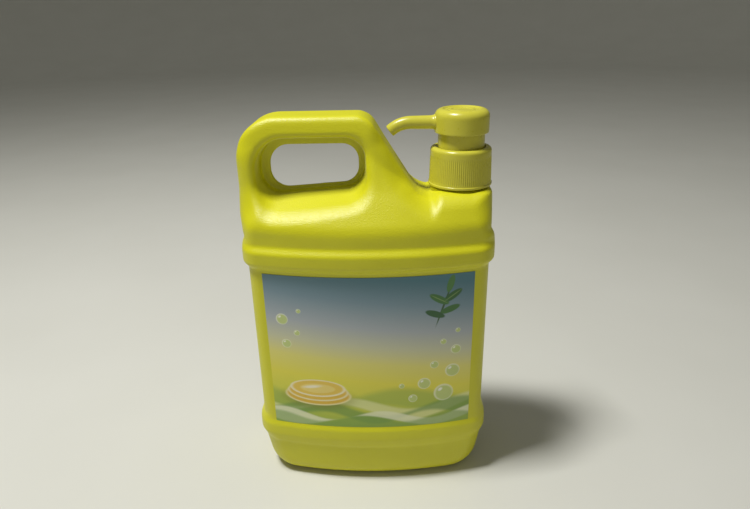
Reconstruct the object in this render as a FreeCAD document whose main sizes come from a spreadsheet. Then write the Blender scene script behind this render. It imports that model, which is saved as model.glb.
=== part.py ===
import FreeCAD, Part
import math
import os
import re

import Sketcher

# A refill-size dish soap jug: a blow-moulded bottle with an integral handle, two labels and a screw-on
# pump whose head is locked down. +Z is up, the front faces -Y, and the origin is the middle of the base.

V = FreeCAD.Vector

SIZES = {
    # Bottle body. Depths are half depths at the middle of the bowed faces.
    "wall": 1.2,
    "bow_radius": 290.0,
    "body_half_width": 81.9,
    "body_half_depth": 43.0,
    "panel_height": 126.8,
    "panel_corner": 12.0,
    "foot_tuck": 1.9,
    "foot_corner": 24.0,
    "foot_flare": 1.5,
    "heel_radius": 12.0,
    "band_step": 3.0,
    "band_side_step": 3.5,
    "low_band_bottom": 31.0,
    "low_band_lip": 0.8,
    "low_band_chamfer": 6.7,
    "low_band_face": 5.0,
    "low_band_ledge": 2.5,
    "high_band_bevel": 3.2,
    "high_band_face": 8.7,
    "high_band_ledge": 4.6,
    # Shoulder, mound under the neck, and handle.
    "shoulder_step": 1.5,
    "shoulder_wall": 6.7,
    "shoulder_round": 16.0,
    "shoulder_corner": 19.0,
    "slope_angle": 55.8,
    "slope_bow_radius": 2600.0,
    "shoulder_tuck": 2.5,
    "mound_rise": 24.0,
    "mound_round": 8.0,
    "handle_rise": 75.0,
    "handle_half_depth": 20.0,
    "handle_lean": 2.6,
    "handle_round": 11.0,
    "handle_corner": 31.0,
    "strut_corner": 14.0,
    "strut_run": 34.4,
    "strut_inset": 28.8,
    "saddle_radius": 9.0,
    "grip_width": 15.0,
    "bar_height": 18.4,
    "strut_width": 2.5,
    "hole_height": 31.2,
    "hole_fall": 4.6,
    "hole_corner": 16.0,
    "hole_right_top_corner": 14.0,
    "hole_right_low_corner": 13.0,
    "hole_round": 5.5,
    "web_width": 3.0,
    "web_thickness": 2.4,
    "scoop_depth": 10.0,
    "scoop_drop": 15.0,
    "scoop_left": 5.0,
    "scoop_right": 8.0,
    "scoop_lap": 1.0,
    # Neck.
    "neck_inset": 18.8,
    "neck_radius": 17.6,
    "neck_bore": 15.4,
    "neck_height": 21.3,
    "bead_radius": 20.2,
    "bead_height": 0.9,
    # Labels.
    "label_side_margin": 10.7,
    "label_foot_margin": 4.0,
    "label_head_margin": 2.8,
    "label_glue": 0.06,
    "label_thickness": 0.2,
    # Gasket, closure and lock ring.
    "gasket_thickness": 1.4,
    "gasket_bore": 13.6,
    "flange_radius": 17.8,
    "flange_thickness": 1.8,
    "closure_radius": 21.0,
    "closure_top_radius": 20.3,
    "closure_bore": 19.2,
    "closure_height": 25.4,
    "closure_roof": 2.0,
    "closure_round": 2.0,
    "rim_step": 0.5,
    "rim_height": 1.6,
    "seat_gap": 0.2,
    "side_gap": 0.4,
    "lock_radius": 15.5,
    "lock_wall": 1.6,
    "lock_height": 13.3,
    "lock_floor": 2.0,
    "plug_depth": 8.0,
    "socket_wall": 1.4,
    "socket_height": 7.0,
    # Pump head and spout.
    "head_radius": 18.0,
    "head_overlap": 1.7,
    "head_height": 15.2,
    "head_round": 4.8,
    "head_wall": 1.6,
    "recess_radius": 12.4,
    "recess_depth": 0.6,
    "boss_radius": 9.2,
    "boss_depth": 7.0,
    "spout_rise": 6.4,
    "spout_radius": 4.6,
    "spout_tip_radius": 4.1,
    "spout_bore": 2.6,
    "spout_reach": 40.5,
    "spout_bend": 20.0,
    "spout_angle": 38.0,
    "spout_end": 8.8,
    # Inside of the pump.
    "fit": 0.06,
    "stem_radius": 4.0,
    "stem_bore": 2.3,
    "stem_stop": 1.0,
    "chamber_radius": 7.5,
    "chamber_wall": 1.4,
    "chamber_depth": 60.5,
    "piston_height": 8.0,
    "piston_floor": 2.0,
    "piston_lip": 2.0,
    "piston_waist": 0.8,
    "spring_height": 22.0,
    "spring_radius": 5.9,
    "wire_radius": 0.5,
    "spring_turns": 7.0,
    "cage_radius": 2.6,
    "cage_thickness": 1.5,
    "ball_radius": 3.0,
    "ball_travel": 2.0,
    "ball_gap": 0.6,
    "seat_radius": 2.0,
    "seat_length": 2.0,
    "tube_radius": 3.2,
    "tube_wall": 0.7,
    "socket_depth": 10.0,
    "tube_end_gap": 5.5,
}

doc = FreeCAD.newDocument("dish_soap_bottle")
sheet = doc.addObject("Spreadsheet::Sheet", "Sizes")
for row, (alias, value) in enumerate(SIZES.items(), start=1):
    sheet.set("A%d" % row, alias)
    sheet.set("B%d" % row, str(value))
    sheet.setAlias("B%d" % row, alias)
doc.recompute()


class Size:
    """The sheet's values by name, for the shapes that are made with Part's own functions."""

    def __getattr__(self, alias):
        return float(sheet.get(alias))


size = Size()

# Heights and places as expressions of the sheet's cells, from the bottle's foot up to the pump's head.
PANEL_BOTTOM = "low_band_bottom + low_band_lip + low_band_chamfer + low_band_face + low_band_ledge"
HIGH_BAND = PANEL_BOTTOM + " + panel_height"
HIGH_BAND_TOP = HIGH_BAND + " + high_band_bevel + high_band_face + high_band_ledge"
SHOULDER_FOOT = HIGH_BAND_TOP + " + shoulder_wall"
MOUND_TOP = SHOULDER_FOOT + " + mound_rise"
HANDLE_TOP = SHOULDER_FOOT + " + handle_rise"
HOLE_TOP = HANDLE_TOP + " - bar_height"
NECK_X = "body_half_width - neck_inset"
STRUT_FOOT = NECK_X + " - strut_inset"
STRUT_TOP = STRUT_FOOT + " - strut_run"
NECK_TOP = MOUND_TOP + " + neck_height"
GASKET_TOP = NECK_TOP + " + gasket_thickness"
FLANGE_TOP = GASKET_TOP + " + flange_thickness"
ROOF_UNDER = FLANGE_TOP + " + seat_gap"
CLOSURE_TOP = ROOF_UNDER + " + closure_roof"
CLOSURE_BOTTOM = CLOSURE_TOP + " - closure_height"
LOCK_FLOOR_TOP = FLANGE_TOP + " + lock_floor"
LOCK_TOP = FLANGE_TOP + " + lock_height"
HEAD_BOTTOM = LOCK_TOP + " - head_overlap"
HEAD_TOP = HEAD_BOTTOM + " + head_height"
HEAD_ROOF = HEAD_TOP + " - recess_depth - head_wall"
SPOUT_HEIGHT = HEAD_BOTTOM + " + spout_rise"
STEM_TOP = SPOUT_HEIGHT + " - spout_bore - stem_stop"
CHAMBER_FLOOR = FLANGE_TOP + " - chamber_depth"
PISTON_BOTTOM = CHAMBER_FLOOR + " + spring_height"
STEM_BOTTOM = PISTON_BOTTOM + " + piston_floor"
CAGE_UNDER = CHAMBER_FLOOR + " - cage_thickness"
BALL_HEIGHT = CAGE_UNDER + " - sqrt(ball_radius ^ 2 - cage_radius ^ 2) - ball_travel - ball_gap / 2"
SEAT_BOTTOM = "(" + BALL_HEIGHT + ") + seat_radius - (ball_radius + fit) * sqrt(2)"
SEAT_TOP = SEAT_BOTTOM + " + ball_radius + ball_gap - seat_radius"
SOCKET_TOP = SEAT_BOTTOM + " - seat_length"
SOCKET_BOTTOM = SOCKET_TOP + " - socket_depth"
TUBE_BOTTOM = "wall + tube_end_gap"


def total(text):
    """The value of a height that is a plain sum of sizes."""
    value = 0.0
    sign = 1
    for word in text.split():
        if word in ("+", "-"):
            sign = 1 if word == "+" else -1
        else:
            value += sign * float(sheet.get(word))
    return value


def bound(text):
    """The expression with each alias written as a cell of the sheet."""
    return re.sub(r"[a-z_]+", lambda word: cell_name(word.group(0)), text)


def cell_name(word):
    if word in SIZES:
        return "Sizes." + word
    return word


# Rings in the heel's arc, and in the shoulder's arc and slope.
HEEL_STEPS = 6
SHOULDER_STEPS = 3
# The share of the shoulder's height over which its corners widen, and the most they take of its half depth.
CORNER_SHARE = 1 / 3
CORNER_LIMIT = 0.75

neck_x = total(NECK_X)
shoulder_foot = total(SHOULDER_FOOT)
shoulder_side = size.body_half_width + size.shoulder_step
mound_top = total(MOUND_TOP)
handle_top = total(HANDLE_TOP)
hole_top = total(HOLE_TOP)
strut_foot = total(STRUT_FOOT)


def turned(name, outline):
    """A body turned about the neck's axis from a closed outline of (radius, height) expressions."""
    body = doc.addObject("PartDesign::Body", name)
    body.Label = name
    plane = [item for item in body.Origin.OriginFeatures if item.Role == "XZ_Plane"][0]
    sketch = body.newObject("Sketcher::SketchObject", name + "_outline")
    sketch.AttachmentSupport = [(plane, "")]
    sketch.MapMode = "FlatFace"
    count = len(outline)
    rough = []
    for i in range(count):
        angle = 2 * math.pi * i / count
        rough.append(V(20 + 10 * math.cos(angle), 200 + 10 * math.sin(angle), 0))
    for i in range(count):
        sketch.addGeometry(Part.LineSegment(rough[i], rough[(i + 1) % count]), False)
    for i in range(count):
        sketch.addConstraint(Sketcher.Constraint("Coincident", i, 2, (i + 1) % count, 1))
    for i, (radius, height) in enumerate(outline):
        if radius == "0":
            sketch.addConstraint(Sketcher.Constraint("PointOnObject", i, 1, -2))
        else:
            across = sketch.addConstraint(Sketcher.Constraint("DistanceX", -1, 1, i, 1, rough[i].x))
            sketch.setExpression("Constraints[%d]" % across, bound(radius))
        up = sketch.addConstraint(Sketcher.Constraint("DistanceY", -1, 1, i, 1, rough[i].y))
        sketch.setExpression("Constraints[%d]" % up, bound(height))
    turn = body.newObject("PartDesign::Revolution", name + "_turn")
    turn.Profile = sketch
    turn.ReferenceAxis = (sketch, ["V_Axis"])
    turn.Angle = 360.0
    body.setExpression("Placement.Base.x", bound(NECK_X))
    doc.recompute()
    return body


def top_circle(solid, radius):
    """The name of the highest circular edge of that radius about the body's axis."""
    found = []
    for i, edge in enumerate(solid.Shape.Edges, start=1):
        if isinstance(edge.Curve, Part.Circle) and abs(edge.Curve.Radius - radius) < 0.01:
            found.append((edge.Curve.Center.z, "Edge%d" % i))
    return max(found)[1]


def rounded(body, radius, fillet):
    """Rounds the highest circular edge of that radius by the named size."""
    base = body.Tip
    edge = top_circle(base, radius)
    feature = body.newObject("PartDesign::Fillet", body.Name + "_round")
    feature.Base = (base, [edge])
    feature.setExpression("Radius", bound(fillet))
    body.Tip = feature
    doc.recompute()


def shaped(name, shape):
    """A sub-part whose shape comes from Part's own functions."""
    feature = doc.addObject("Part::Feature", name)
    feature.Label = name
    feature.Shape = shape
    feature.Placement = FreeCAD.Placement()
    return feature


def corner_wire(corners, y):
    """A closed wire in the plane at y through corners (x, z, radius), with tangent arcs in the corners."""
    points = [V(x, y, z) for x, z, radius in corners]
    count = len(points)
    edges = []
    starts = []
    ends = []
    for i, (x, z, radius) in enumerate(corners):
        here = points[i]
        back = (points[i - 1] - here).normalize()
        ahead = (points[(i + 1) % count] - here).normalize()
        half = back.getAngle(ahead) / 2
        run = radius / math.tan(half)
        starts.append(here + back * run)
        ends.append(here + ahead * run)
        if radius > 0:
            toward = (back + ahead).normalize()
            middle = here + toward * (radius / math.sin(half) - radius)
            edges.append(Part.Arc(starts[i], middle, ends[i]).toShape())
    sides = [Part.makeLine(ends[i], starts[(i + 1) % count]) for i in range(count)]
    return Part.Wire(Part.__sortEdges__(edges + sides))


def ring(height, left, right, depth, corner, bow):
    """A plan section: bowed front and back, straight sides and round corners tangent to both."""
    middle = (left + right) / 2
    run = (right - left) / 2 - corner
    lean = math.asin(run / (bow - corner))
    centre_y = bow - depth - (bow - corner) * math.cos(lean)
    blend = (math.pi / 2 + lean) / 2
    side_x = run + corner
    bow_x = run + corner * math.sin(lean)
    bow_y = centre_y - corner * math.cos(lean)
    arc_x = run + corner * math.sin(blend)
    arc_y = centre_y - corner * math.cos(blend)

    def at(x, y):
        return V(middle + x, y, height)

    edges = [
        Part.Arc(at(-bow_x, bow_y), at(0, -depth), at(bow_x, bow_y)).toShape(),
        Part.Arc(at(bow_x, bow_y), at(arc_x, arc_y), at(side_x, centre_y)).toShape(),
        Part.makeLine(at(side_x, centre_y), at(side_x, -centre_y)),
        Part.Arc(at(side_x, -centre_y), at(arc_x, -arc_y), at(bow_x, -bow_y)).toShape(),
        Part.Arc(at(bow_x, -bow_y), at(0, depth), at(-bow_x, -bow_y)).toShape(),
        Part.Arc(at(-bow_x, -bow_y), at(-arc_x, -arc_y), at(-side_x, -centre_y)).toShape(),
        Part.makeLine(at(-side_x, -centre_y), at(-side_x, centre_y)),
        Part.Arc(at(-side_x, centre_y), at(-arc_x, arc_y), at(-bow_x, bow_y)).toShape(),
    ]
    return Part.Wire(edges)


def centred_ring(height, half_width, depth, corner):
    return ring(height, -half_width, half_width, depth, corner, size.bow_radius)


def heel(inset):
    """The rounded bottom: rings on a quarter circle up to the foot's wall."""
    radius = size.heel_radius - inset
    foot_width = size.body_half_width - size.foot_tuck
    foot_depth = size.body_half_depth - size.foot_tuck
    rings = []
    for i in range(HEEL_STEPS + 1):
        angle = math.pi / 2 * i / HEEL_STEPS
        into = inset + radius * (1 - math.sin(angle))
        height = inset + radius * (1 - math.cos(angle))
        rings.append(centred_ring(height, foot_width - into, foot_depth - into, size.foot_corner - into))
    return Part.makeLoft(rings, True, False)


def straight_body(inset):
    """Foot wall, lower band, label panel, upper band and the upright part of the shoulder."""
    width = size.body_half_width
    depth = size.body_half_depth
    foot = width - size.foot_tuck
    foot_deep = depth - size.foot_tuck
    flare = size.foot_flare
    band = width + size.band_side_step
    band_deep = depth + size.band_step
    corner = size.panel_corner
    wide_corner = corner + size.band_step
    tight_corner = size.foot_corner - flare
    low = size.low_band_bottom
    chamfer = low + size.low_band_lip
    low_face = chamfer + size.low_band_chamfer
    low_ledge = low_face + size.low_band_face
    high = total(HIGH_BAND)
    high_face = high + size.high_band_bevel
    high_ledge = high_face + size.high_band_face
    rows = [
        (size.heel_radius, foot, foot_deep, size.foot_corner),
        (low, foot + flare, foot_deep + flare, tight_corner),
        (chamfer, width, depth, tight_corner),
        (low_face, band, band_deep, wide_corner),
        (low_ledge, band, band_deep, wide_corner),
        (total(PANEL_BOTTOM), width, depth, corner),
        (high, width, depth, corner),
        (high_face, band, band_deep, wide_corner),
        (high_ledge, band, band_deep, wide_corner),
        (total(HIGH_BAND_TOP), shoulder_side, depth, corner),
        (shoulder_foot, shoulder_side, depth, corner),
    ]
    rings = [centred_ring(z, width - inset, deep - inset, round_ - inset) for z, width, deep, round_ in rows]
    return Part.makeLoft(rings, True, True)


def side_at(height):
    """How far left the leaning side of the shoulder and handle stands at a height."""
    return shoulder_side + size.handle_lean * (height - shoulder_foot) / size.handle_rise


def shoulder(inset):
    """The shoulder: an arc off the upright wall, then a slope up to the handle's thickness."""
    turn = math.radians(90 - size.slope_angle)
    top_depth = size.handle_half_depth - size.hole_round - size.wall
    rows = []
    for i in range(SHOULDER_STEPS + 1):
        angle = turn * i / SHOULDER_STEPS
        depth = size.body_half_depth - size.shoulder_round * (1 - math.cos(angle))
        height = shoulder_foot + size.shoulder_round * math.sin(angle)
        rows.append((height, depth))
    arc_height, arc_depth = rows[-1]
    for i in range(1, SHOULDER_STEPS + 1):
        depth = arc_depth + (top_depth - arc_depth) * i / SHOULDER_STEPS
        height = arc_height + (arc_depth - depth) * math.tan(math.radians(size.slope_angle))
        rows.append((height, depth))
    bottom = rows[0][0]
    top = rows[-1][0]
    rings = []
    for height, depth in rows:
        share = (height - bottom) / (top - bottom)
        corner = size.panel_corner + (size.shoulder_corner - size.panel_corner) * min(1, share / CORNER_SHARE)
        bend = (1 - share) / size.bow_radius + share / size.slope_bow_radius
        side_depth = depth - shoulder_side ** 2 * bend / 2
        corner = min(corner, CORNER_LIMIT * side_depth)
        left = -side_at(height) + inset + size.shoulder_tuck * share
        right = shoulder_side - inset
        rings.append(ring(height, left, right, depth - inset, corner - inset, 1 / bend))
    return Part.makeLoft(rings, True, False)


def strut_line(height, inset):
    """Where the sloping side of the strut stands at a height, moved in by the inset."""
    run = size.strut_run / (handle_top - mound_top)
    slant = math.sqrt(1 + run * run)
    return strut_foot - run * (height - mound_top) - inset * slant


def outline_block(inset):
    """What lies left of the strut or under the mound, as a block through the whole depth."""
    far = 3 * size.body_half_width
    mound = mound_top - inset
    sky = 2 * handle_top
    corners = [
        (-far, size.low_band_bottom, 0),
        (-far, sky, 0),
        (strut_line(sky, inset), sky, 0),
        (strut_line(mound, inset), mound, size.saddle_radius),
        (far, mound, 0),
        (far, size.low_band_bottom, 0),
    ]
    face = Part.Face(corner_wire(corners, -far))
    return face.extrude(V(0, 2 * far, 0))


def handle_plate(inset):
    """The handle and strut as a thick plate with rounded edges, down into the shoulder."""
    foot = shoulder_foot + inset
    top = handle_top - inset
    half = size.handle_half_depth - inset
    hole_left = size.grip_width - shoulder_side
    corners = [
        (-side_at(foot) + inset, foot, 0),
        (-side_at(top) + inset, top, size.handle_corner - inset),
        (strut_line(top, inset), top, size.strut_corner - inset),
        (strut_line(foot, inset), foot, 0),
    ]
    plate = Part.Face(corner_wire(corners, -half)).extrude(V(0, 2 * half, 0))
    plate = plate.cut(hole_block(inset))
    edges = []
    for edge in plate.Edges:
        box = edge.BoundBox
        flat = box.YLength < 0.001 and abs(abs(box.YMin) - half) < 0.001
        inside = box.ZMax < hole_top + inset + 0.5 and box.XMin > hole_left - inset - 0.5
        if flat and box.ZMax > foot + 1 and not (inside and box.XMax < inset):
            edges.append(edge)
    plate = plate.makeFillet(size.handle_round - inset, edges)
    rims = []
    for edge in plate.Edges:
        box = edge.BoundBox
        flat = box.YLength < 0.001 and abs(abs(box.YMin) - half) < 0.001
        inside = box.ZMax < hole_top + inset + 0.5 and box.XMin > hole_left - inset - 0.5
        if flat and inside and box.XMax < inset and box.ZMax > foot + 1:
            rims.append(edge)
    return plate.makeFillet(size.hole_round, rims)


def hole_corners(grow, left, right, drop):
    """The hole's outline, grown all round, with its ends and its bottom moved out further."""
    left_x = size.grip_width - shoulder_side - grow - left
    right_x = total(STRUT_TOP) - size.strut_width + grow + right
    top = hole_top + grow
    low = hole_top - size.hole_height - grow - drop
    return [
        (left_x, top, size.hole_corner + grow),
        (right_x, top, size.hole_right_top_corner + grow),
        (right_x, low, size.hole_right_low_corner + grow),
        (left_x, low - size.hole_fall, size.hole_corner + grow),
    ]


def hole_block(inset):
    """The hole through the handle, before its web."""
    far = 2 * size.body_half_depth
    face = Part.Face(corner_wire(hole_corners(inset, 0, 0, 0), -far))
    return face.extrude(V(0, 2 * far, 0))


def scoop(inset, side):
    """The finger scoop: the hole widens and drops towards the front or back face."""
    near = side * size.scoop_depth
    far = side * (size.body_half_depth + size.band_step)
    lap = size.scoop_lap
    small = corner_wire(hole_corners(inset - lap, 0, 0, 0), near)
    spread = (size.scoop_left + lap, size.scoop_right + lap, size.scoop_drop + lap)
    large = corner_wire(hole_corners(inset - lap, *spread), far)
    return Part.makeLoft([small, large], True, True)


def crest_edges(upper, inset):
    """The edges where the mound and the strut's side meet the sloping front and back."""
    edges = []
    for edge in upper.Edges:
        middle = edge.valueAt((edge.FirstParameter + edge.LastParameter) / 2)
        above = middle.z > mound_top - inset - 0.01
        beyond = middle.x > strut_line(middle.z, inset) - size.saddle_radius
        across = abs(middle.y) < 1 and middle.x < neck_x
        if above and beyond and not across:
            edges.append(edge)
    return edges


def jug(inset):
    """The whole form of the bottle without its neck, smaller all round by the inset."""
    upper = shoulder(inset).common(outline_block(inset))
    upper = upper.makeFillet(size.mound_round - inset, crest_edges(upper, inset))
    upper = upper.cut(hole_block(inset))
    form = heel(inset).fuse([straight_body(inset), upper, handle_plate(inset)])
    form = form.cut([scoop(inset, -1), scoop(inset, 1)])
    return form.removeSplitter()


def web():
    """The pinched web that lines the handle's hole at the parting plane."""
    half = size.web_thickness / 2
    outer = Part.Face(corner_wire(hole_corners(size.wall / 2, 0, 0, 0), -half))
    inner = Part.Face(corner_wire(hole_corners(-size.web_width, 0, 0, 0), -half))
    return outer.cut(inner).extrude(V(0, 2 * half, 0))


def tube(radius, bottom, top):
    return Part.makeCylinder(radius, top - bottom, V(neck_x, 0, bottom))


def bottle_shape():
    neck_top = mound_top + size.neck_height
    under = mound_top - size.wall / 2
    outer = jug(0).fuse([
        tube(size.neck_radius, under, neck_top),
        tube(size.bead_radius, under, mound_top + size.bead_height),
    ])
    hollow = jug(size.wall)
    shell = outer.cut([hollow, tube(size.neck_bore, mound_top - 3 * size.wall, neck_top + 1)])
    return shell.fuse(web()).removeSplitter()


def label_shape(side):
    """A thin sheet glued to the bowed panel, on the front for side -1 and on the back for side 1."""
    inner = size.bow_radius + size.label_glue
    outer = inner + size.label_thickness
    half = size.body_half_width - size.label_side_margin
    foot = total(PANEL_BOTTOM) + size.label_foot_margin
    head = total(HIGH_BAND) - size.label_head_margin
    lean_in = math.asin(half / inner)
    lean_out = math.asin(half / outer)
    centre = side * (size.body_half_depth - size.bow_radius)

    def at(radius, lean):
        return V(radius * math.sin(lean), centre + side * radius * math.cos(lean), foot)

    edges = [
        Part.Arc(at(inner, -lean_in), at(inner, 0), at(inner, lean_in)).toShape(),
        Part.makeLine(at(inner, lean_in), at(outer, lean_out)),
        Part.Arc(at(outer, lean_out), at(outer, 0), at(outer, -lean_out)).toShape(),
        Part.makeLine(at(outer, -lean_out), at(inner, -lean_in)),
    ]
    return Part.Face(Part.Wire(edges)).extrude(V(0, 0, head - foot))


def spout_path(start, extra):
    """The spout's centre line from an x: level, round one bend, then down to the tip and on by the extra."""
    height = total(SPOUT_HEIGHT)
    angle = math.radians(size.spout_angle)
    bend = size.spout_bend
    run = bend * math.tan(angle / 2)
    corner = V(neck_x - size.spout_reach, 0, height)
    down = V(-math.cos(angle), 0, -math.sin(angle))
    before = corner + V(run, 0, 0)
    after = corner + down * run
    centre = before - V(0, 0, bend)
    middle = centre + V(-math.sin(angle / 2), 0, math.cos(angle / 2)) * bend
    tip = corner + down * (size.spout_end + extra)
    wire = Part.Wire([
        Part.makeLine(V(start, 0, height), before),
        Part.Arc(before, middle, after).toShape(),
        Part.makeLine(after, tip),
    ])
    return wire, tip, down


def spout_pipe(start, root_radius, tip_radius, extra):
    """A round solid along the spout's centre line, tapering from root to tip."""
    path, tip, down = spout_path(start, extra)
    root = Part.Wire(Part.makeCircle(root_radius, V(start, 0, total(SPOUT_HEIGHT)), V(-1, 0, 0)))
    end = Part.Wire(Part.makeCircle(tip_radius, tip, down))
    return path.makePipeShell([root, end], True, False)


def head_channel():
    """The liquid's way through the head: up from the stem and out along the spout."""
    bottom = total(STEM_TOP) - size.stem_stop
    rise = total(SPOUT_HEIGHT) - bottom
    up = Part.makeCylinder(size.stem_bore, rise, V(neck_x, 0, bottom))
    along = spout_pipe(neck_x, size.spout_bore, size.spout_bore, size.stem_stop)
    return up.fuse(along)


shaped("bottle", bottle_shape())
shaped("front_label", label_shape(-1))
shaped("back_label", label_shape(1))

turned("neck_gasket", [
    ("gasket_bore", NECK_TOP),
    ("neck_radius", NECK_TOP),
    ("neck_radius", GASKET_TOP),
    ("gasket_bore", GASKET_TOP),
])

closure = turned("closure_collar", [
    ("closure_bore", CLOSURE_BOTTOM),
    ("closure_radius + rim_step", CLOSURE_BOTTOM),
    ("closure_radius + rim_step", CLOSURE_BOTTOM + " + rim_height"),
    ("closure_radius", CLOSURE_BOTTOM + " + rim_height"),
    ("closure_top_radius", CLOSURE_TOP),
    ("lock_radius + side_gap", CLOSURE_TOP),
    ("lock_radius + side_gap", ROOF_UNDER),
    ("closure_bore", ROOF_UNDER),
])
rounded(closure, size.closure_top_radius, "closure_round")

# The cylinder with its flange, spring floor, ball cage, ball seat and dip tube socket.
turned("pump_housing", [
    ("flange_radius", GASKET_TOP),
    ("flange_radius", FLANGE_TOP),
    ("chamber_radius", FLANGE_TOP),
    ("chamber_radius", CHAMBER_FLOOR),
    ("cage_radius", CHAMBER_FLOOR),
    ("cage_radius", CAGE_UNDER),
    ("ball_radius + ball_gap", CAGE_UNDER),
    ("ball_radius + ball_gap", SEAT_TOP),
    ("seat_radius", SEAT_BOTTOM),
    ("seat_radius", SOCKET_TOP),
    ("tube_radius + fit", SOCKET_TOP),
    ("tube_radius + fit", SOCKET_BOTTOM),
    ("ball_radius + ball_gap + chamber_wall", SOCKET_BOTTOM),
    ("ball_radius + ball_gap + chamber_wall", CAGE_UNDER + " - chamber_radius + ball_radius"),
    ("chamber_radius + chamber_wall", CHAMBER_FLOOR + " - chamber_wall"),
    ("chamber_radius + chamber_wall", GASKET_TOP),
])

turned("lock_ring", [
    ("stem_radius + fit", FLANGE_TOP + " - plug_depth"),
    ("chamber_radius - fit", FLANGE_TOP + " - plug_depth"),
    ("chamber_radius - fit", FLANGE_TOP),
    ("lock_radius", FLANGE_TOP),
    ("lock_radius", LOCK_TOP),
    ("lock_radius - lock_wall", LOCK_TOP),
    ("lock_radius - lock_wall", LOCK_FLOOR_TOP),
    ("boss_radius + side_gap + socket_wall", LOCK_FLOOR_TOP),
    ("boss_radius + side_gap + socket_wall", LOCK_FLOOR_TOP + " + socket_height"),
    ("boss_radius + side_gap", LOCK_FLOOR_TOP + " + socket_height"),
    ("boss_radius + side_gap", LOCK_FLOOR_TOP),
    ("stem_radius + fit", LOCK_FLOOR_TOP),
])

head = turned("head_shell", [
    ("0", STEM_TOP),
    ("stem_radius + fit", STEM_TOP),
    ("stem_radius + fit", HEAD_BOTTOM + " - boss_depth"),
    ("boss_radius", HEAD_BOTTOM + " - boss_depth"),
    ("boss_radius", HEAD_ROOF),
    ("head_radius - head_wall", HEAD_ROOF),
    ("head_radius - head_wall", HEAD_BOTTOM),
    ("head_radius", HEAD_BOTTOM),
    ("head_radius", HEAD_TOP),
    ("recess_radius", HEAD_TOP),
    ("recess_radius", HEAD_TOP + " - recess_depth"),
    ("0", HEAD_TOP + " - recess_depth"),
])
rounded(head, size.head_radius, "head_round")
spout_start = neck_x - size.boss_radius / 2
spout = shaped("spout", spout_pipe(spout_start, size.spout_radius, size.spout_tip_radius, 0))
channel = shaped("channel", head_channel())
with_spout = doc.addObject("Part::Fuse", "head_with_spout")
with_spout.Base = head
with_spout.Tool = spout
pump_head = doc.addObject("Part::Cut", "pump_head")
pump_head.Label = "pump_head"
pump_head.Base = with_spout
pump_head.Tool = channel

turned("stem", [
    ("stem_bore", STEM_BOTTOM),
    ("stem_radius", STEM_BOTTOM),
    ("stem_radius", STEM_TOP),
    ("stem_bore", STEM_TOP),
])

turned("piston", [
    ("stem_bore", PISTON_BOTTOM),
    ("chamber_radius - fit", PISTON_BOTTOM),
    ("chamber_radius - fit", PISTON_BOTTOM + " + piston_lip"),
    ("chamber_radius - piston_waist", PISTON_BOTTOM + " + piston_lip + piston_waist"),
    ("chamber_radius - piston_waist", PISTON_BOTTOM + " + piston_height - piston_lip - piston_waist"),
    ("chamber_radius - fit", PISTON_BOTTOM + " + piston_height - piston_lip"),
    ("chamber_radius - fit", PISTON_BOTTOM + " + piston_height"),
    ("stem_radius + fit", PISTON_BOTTOM + " + piston_height"),
    ("stem_radius + fit", STEM_BOTTOM),
    ("stem_bore", STEM_BOTTOM),
])

turned("dip_tube", [
    ("tube_radius - tube_wall", TUBE_BOTTOM),
    ("tube_radius", TUBE_BOTTOM),
    ("tube_radius", SOCKET_TOP),
    ("tube_radius - tube_wall", SOCKET_TOP),
])

ball = doc.addObject("Part::Sphere", "check_ball")
ball.Label = "check_ball"
ball.setExpression("Radius", bound("ball_radius"))
ball.setExpression("Placement.Base.x", bound(NECK_X))
ball.setExpression("Placement.Base.z", bound(BALL_HEIGHT))

coil = doc.addObject("Part::Helix", "spring_line")
coil.setExpression("Radius", bound("spring_radius"))
coil.setExpression("Height", bound("spring_height - 2 * wire_radius - 2 * fit"))
coil.setExpression("Pitch", bound("(spring_height - 2 * wire_radius - 2 * fit) / spring_turns"))
wire = doc.addObject("Part::Circle", "spring_wire")
wire.setExpression("Radius", bound("wire_radius"))
wire.Placement = FreeCAD.Placement(V(size.spring_radius, 0, 0), FreeCAD.Rotation(V(1, 0, 0), 90))
wire.setExpression("Placement.Base.x", bound("spring_radius"))
spring = doc.addObject("Part::Sweep", "return_spring")
spring.Label = "return_spring"
spring.Sections = [wire]
spring.Spine = (coil, ["Edge1"])
spring.Solid = True
spring.Frenet = True
spring.setExpression("Placement.Base.x", bound(NECK_X))
spring.setExpression("Placement.Base.z", bound(CHAMBER_FLOOR + " + wire_radius + fit"))
doc.recompute()

NODES = [
    "bottle",
    "front_label",
    "back_label",
    "neck_gasket",
    "closure_collar",
    "pump_housing",
    "lock_ring",
    "pump_head",
    "stem",
    "piston",
    "dip_tube",
    "check_ball",
    "return_spring",
]

for item in doc.Objects:
    if "Invalid" in item.State or "Error" in item.State:
        raise RuntimeError("%s did not build: %s" % (item.Name, item.State))

os.makedirs("parts", exist_ok=True)
for name in NODES:
    shape = doc.getObject(name).Shape
    if shape.isNull() or not shape.isValid() or len(shape.Solids) != 1:
        raise RuntimeError("%s is not one valid solid" % name)
for name in NODES:
    shape = doc.getObject(name).Shape
    shape.exportStep("parts/%s.step" % name)
    box = shape.BoundBox
    print("%-16s %10.0f mm3  z %.2f to %.2f" % (name, shape.Volume, box.ZMin, box.ZMax))
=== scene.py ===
import math

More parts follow.
